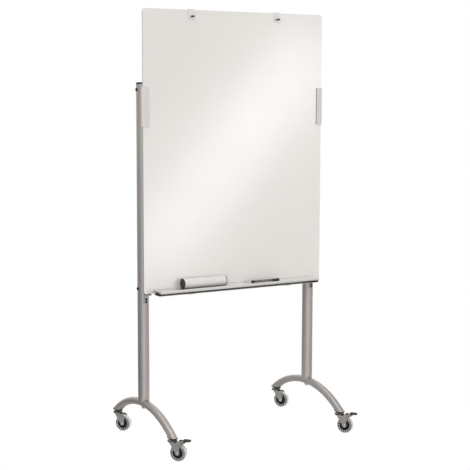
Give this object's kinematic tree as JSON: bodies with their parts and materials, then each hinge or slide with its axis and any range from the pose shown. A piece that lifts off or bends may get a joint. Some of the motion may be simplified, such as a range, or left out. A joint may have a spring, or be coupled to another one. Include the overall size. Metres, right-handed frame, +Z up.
{
  "type": "rolling whiteboard",
  "caption": "Tall glass whiteboard on two round posts with arched feet and swivel casters, with a pen tray, flip-chart hooks, an eraser and a marker.",
  "frame": {"origin": "on the floor, midway between the two posts", "axes": "+X along the board to its right as seen from the front, +Y towards the back, +Z up; the writing face looks along -Y"},
  "size_m": [0.9513, 0.6411, 1.9062],
  "materials": {
    "board_glass": "polished, painted white on its back",
    "silver_metal": "satin silver-grey powder coat",
    "clamp_aluminium": "satin anodised",
    "tray_aluminium": "satin anodised",
    "bare_steel": "zinc plated",
    "caster_steel": "satin zinc plate",
    "hook_steel": "satin",
    "insert_brass": "turned",
    "black_plastic": "moulded",
    "pedal_plastic": "ribbed",
    "black_bolts": "black oxide",
    "dark_rubber": "soft",
    "wheel_core_plastic": "moulded",
    "clear_tread": "clear polyurethane",
    "eraser_shell": "brushed",
    "eraser_felt": "pressed felt",
    "marker_body": "smooth",
    "marker_nib": "fibre"
  },
  "bodies": {
    "root": {"glass_board": "board_glass", "post_left": "silver_metal", "post_right": "silver_metal", "post_caps": "black_plastic", "foot_arch_left": "silver_metal", "foot_arch_right": "silver_metal", "foot_end_plugs": "black_plastic", "stem_inserts": "insert_brass", "post_foot_nuts": "bare_steel", "foot_bolts": "bare_steel", "crossbar_upper": "silver_metal", "crossbar_lower": "silver_metal", "crossbar_bolts": "black_bolts", "clamp_left": "clamp_aluminium", "clamp_right": "clamp_aluminium", "clamp_liners": "dark_rubber", "clamp_spacers": "tray_aluminium", "clamp_screws": "bare_steel", "board_rest_brackets": "silver_metal", "board_rest_pads": "dark_rubber", "board_rest_bolts": "black_bolts", "tray": "tray_aluminium", "tray_end_caps": "black_plastic", "tray_arms": "silver_metal", "tray_screws": "bare_steel", "caster_stems": "caster_steel", "caster_dust_shields": "black_plastic"},
    "caster_front_left": {"fork_front_left": "caster_steel", "wheel_axle_front_left": "caster_steel", "brake_pin_left": "bare_steel"},
    "wheel_front_left": {"wheel_core_front_left": "wheel_core_plastic", "wheel_tread_front_left": "clear_tread"},
    "caster_front_right": {"fork_front_right": "caster_steel", "wheel_axle_front_right": "caster_steel", "brake_pin_right": "bare_steel"},
    "wheel_front_right": {"wheel_core_front_right": "wheel_core_plastic", "wheel_tread_front_right": "clear_tread"},
    "caster_back_left": {"fork_back_left": "caster_steel", "wheel_axle_back_left": "caster_steel"},
    "wheel_back_left": {"wheel_core_back_left": "wheel_core_plastic", "wheel_tread_back_left": "clear_tread"},
    "caster_back_right": {"fork_back_right": "caster_steel", "wheel_axle_back_right": "caster_steel"},
    "wheel_back_right": {"wheel_core_back_right": "wheel_core_plastic", "wheel_tread_back_right": "clear_tread"},
    "brake_left": {"brake_arm_left": "caster_steel", "brake_pedal_left": "pedal_plastic"},
    "brake_right": {"brake_arm_right": "caster_steel", "brake_pedal_right": "pedal_plastic"},
    "hook_left": {"hook_left": "hook_steel", "hook_peg_left": "black_plastic"},
    "hook_right": {"hook_right": "hook_steel", "hook_peg_right": "black_plastic"},
    "eraser": {"eraser_barrel": "eraser_shell", "eraser_felt": "eraser_felt", "eraser_end_caps": "black_plastic"},
    "marker": {"marker_barrel": "marker_body", "marker_tip": "marker_nib", "marker_plug": "black_plastic"},
    "marker_cap": {"marker_cap": "black_plastic"}
  },
  "joints": [
    {"name": "swivel_front_left", "type": "hinge", "parent": "root", "child": "caster_front_left", "pos_m": [-0.432, -0.27032, 0.09], "axis": [0, 0, 1], "continuous": true},
    {"name": "spin_front_left", "type": "hinge", "parent": "caster_front_left", "child": "wheel_front_left", "pos_m": [-0.41475, -0.29363, 0.0375], "axis": [0.8039, 0.5948, 0], "continuous": true},
    {"name": "swivel_front_right", "type": "hinge", "parent": "root", "child": "caster_front_right", "pos_m": [0.432, -0.27032, 0.09], "axis": [0, 0, 1], "continuous": true},
    {"name": "spin_front_right", "type": "hinge", "parent": "caster_front_right", "child": "wheel_front_right", "pos_m": [0.44925, -0.29363, 0.0375], "axis": [0.8039, 0.5948, 0], "continuous": true},
    {"name": "swivel_back_left", "type": "hinge", "parent": "root", "child": "caster_back_left", "pos_m": [-0.432, 0.27032, 0.09], "axis": [0, 0, 1], "continuous": true},
    {"name": "spin_back_left", "type": "hinge", "parent": "caster_back_left", "child": "wheel_back_left", "pos_m": [-0.41475, 0.24701, 0.0375], "axis": [0.8039, 0.5948, 0], "continuous": true},
    {"name": "swivel_back_right", "type": "hinge", "parent": "root", "child": "caster_back_right", "pos_m": [0.432, 0.27032, 0.09], "axis": [0, 0, 1], "continuous": true},
    {"name": "spin_back_right", "type": "hinge", "parent": "caster_back_right", "child": "wheel_back_right", "pos_m": [0.44925, 0.24701, 0.0375], "axis": [0.8039, 0.5948, 0], "continuous": true},
    {"name": "brake_left", "type": "hinge", "parent": "caster_front_left", "child": "brake_left", "pos_m": [-0.40821, -0.30247, 0.082], "axis": [0.8039, 0.5948, 0], "range_deg": [0, 18]},
    {"name": "brake_right", "type": "hinge", "parent": "caster_front_right", "child": "brake_right", "pos_m": [0.45579, -0.30247, 0.082], "axis": [0.8039, 0.5948, 0], "range_deg": [0, 18]},
    {"name": "hook_slide_left", "type": "slide", "parent": "root", "child": "hook_left", "axis": [1, 0, 0], "range_m": [-0.2, 0.19]},
    {"name": "hook_slide_right", "type": "slide", "parent": "root", "child": "hook_right", "axis": [1, 0, 0], "range_m": [-0.18, 0.21]},
    {"name": "eraser_lift", "type": "slide", "parent": "root", "child": "eraser", "axis": [0, 0, 1], "range_m": [0, 0.15]},
    {"name": "marker_lift", "type": "slide", "parent": "root", "child": "marker", "axis": [0, 0, 1], "range_m": [0, 0.15]},
    {"name": "marker_cap_pull", "type": "slide", "parent": "marker", "child": "marker_cap", "axis": [1, 0, 0], "range_m": [0, 0.05]}
  ]
}
